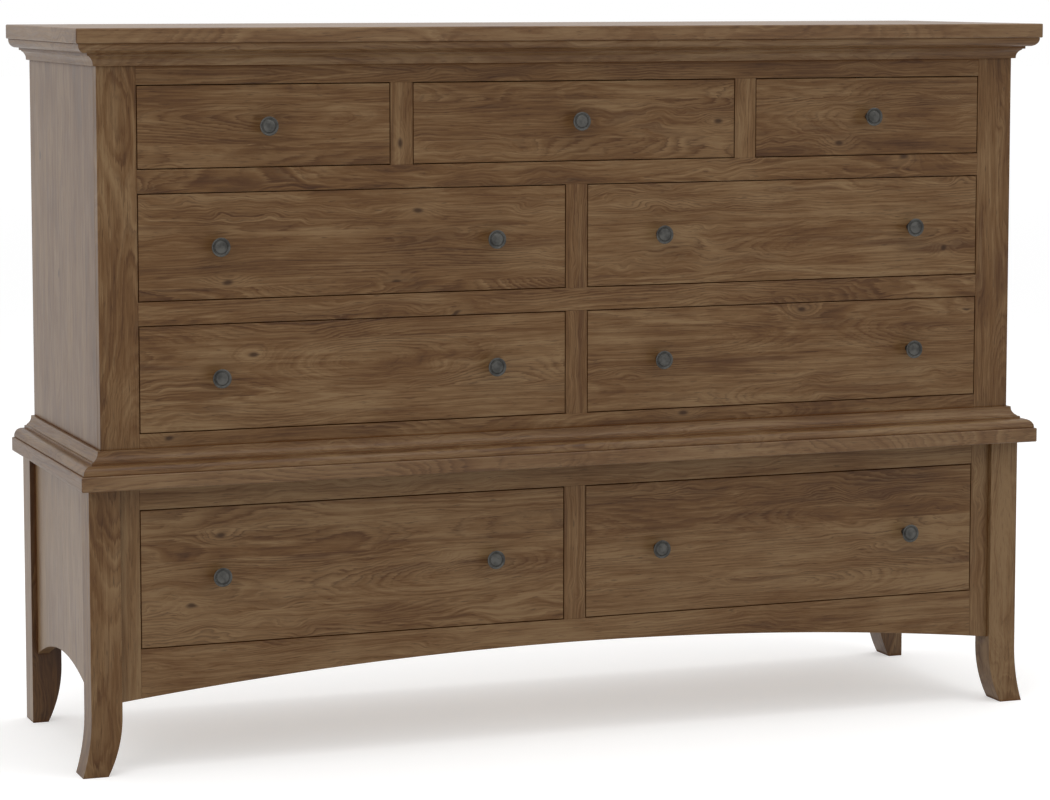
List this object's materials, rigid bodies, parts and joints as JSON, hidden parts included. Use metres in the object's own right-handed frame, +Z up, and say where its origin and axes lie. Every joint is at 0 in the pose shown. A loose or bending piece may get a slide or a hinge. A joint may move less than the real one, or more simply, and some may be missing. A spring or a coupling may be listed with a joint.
{
  "type": "dresser",
  "caption": "Two-tier wooden dresser with flush sliding drawers, round metal knobs, stepped cornice and waist mouldings, arched apron and flared feet.",
  "frame": {"origin": "on the floor, under the middle of the top board", "axes": "+X to the right along the front, +Y to the back, +Z up; drawers open towards -Y"},
  "size_m": [1.702, 0.521, 1.195],
  "materials": {
    "case_wood": "satin brown stained hardwood",
    "drawer_wood": "clear satin lacquer on pale hardwood",
    "panel_wood": "thin plywood, lacquered",
    "knob_metal": "dark pewter, satin"
  },
  "bodies": {
    "case": {"top_board": "case_wood", "cornice_moulding": "case_wood", "upper_side_left": "case_wood", "upper_side_right": "case_wood", "upper_stiles": "case_wood", "upper_rails": "case_wood", "upper_dividers": "case_wood", "upper_back": "panel_wood", "waist_board": "case_wood", "waist_moulding": "case_wood", "front_leg_left": "case_wood", "front_leg_right": "case_wood", "rear_leg_left": "case_wood", "rear_leg_right": "case_wood", "lower_side_left": "case_wood", "lower_side_right": "case_wood", "lower_stiles": "case_wood", "lower_top_rail": "case_wood", "lower_divider": "case_wood", "front_apron": "case_wood", "lower_back": "panel_wood", "drawer_runners": "drawer_wood", "drawer_guides": "drawer_wood", "rear_rails": "drawer_wood"},
    "row1_left": {"row1_left_front": "case_wood", "row1_left_box": "drawer_wood", "row1_left_bottom": "panel_wood", "row1_left_knob": "knob_metal"},
    "row1_middle": {"row1_middle_front": "case_wood", "row1_middle_box": "drawer_wood", "row1_middle_bottom": "panel_wood", "row1_middle_knob": "knob_metal"},
    "row1_right": {"row1_right_front": "case_wood", "row1_right_box": "drawer_wood", "row1_right_bottom": "panel_wood", "row1_right_knob": "knob_metal"},
    "row2_left": {"row2_left_front": "case_wood", "row2_left_box": "drawer_wood", "row2_left_bottom": "panel_wood", "row2_left_knobs": "knob_metal"},
    "row2_right": {"row2_right_front": "case_wood", "row2_right_box": "drawer_wood", "row2_right_bottom": "panel_wood", "row2_right_knobs": "knob_metal"},
    "row3_left": {"row3_left_front": "case_wood", "row3_left_box": "drawer_wood", "row3_left_bottom": "panel_wood", "row3_left_knobs": "knob_metal"},
    "row3_right": {"row3_right_front": "case_wood", "row3_right_box": "drawer_wood", "row3_right_bottom": "panel_wood", "row3_right_knobs": "knob_metal"},
    "row4_left": {"row4_left_front": "case_wood", "row4_left_box": "drawer_wood", "row4_left_bottom": "panel_wood", "row4_left_knobs": "knob_metal"},
    "row4_right": {"row4_right_front": "case_wood", "row4_right_box": "drawer_wood", "row4_right_bottom": "panel_wood", "row4_right_knobs": "knob_metal"}
  },
  "joints": [
    {"name": "row1_left_slide", "type": "slide", "parent": "case", "child": "row1_left", "axis": [0, -1, 0], "range_m": [0, 0.34]},
    {"name": "row1_middle_slide", "type": "slide", "parent": "case", "child": "row1_middle", "axis": [0, -1, 0], "range_m": [0, 0.34]},
    {"name": "row1_right_slide", "type": "slide", "parent": "case", "child": "row1_right", "axis": [0, -1, 0], "range_m": [0, 0.34]},
    {"name": "row2_left_slide", "type": "slide", "parent": "case", "child": "row2_left", "axis": [0, -1, 0], "range_m": [0, 0.34]},
    {"name": "row2_right_slide", "type": "slide", "parent": "case", "child": "row2_right", "axis": [0, -1, 0], "range_m": [0, 0.34]},
    {"name": "row3_left_slide", "type": "slide", "parent": "case", "child": "row3_left", "axis": [0, -1, 0], "range_m": [0, 0.34]},
    {"name": "row3_right_slide", "type": "slide", "parent": "case", "child": "row3_right", "axis": [0, -1, 0], "range_m": [0, 0.34]},
    {"name": "row4_left_slide", "type": "slide", "parent": "case", "child": "row4_left", "axis": [0, -1, 0], "range_m": [0, 0.34]},
    {"name": "row4_right_slide", "type": "slide", "parent": "case", "child": "row4_right", "axis": [0, -1, 0], "range_m": [0, 0.34]}
  ]
}
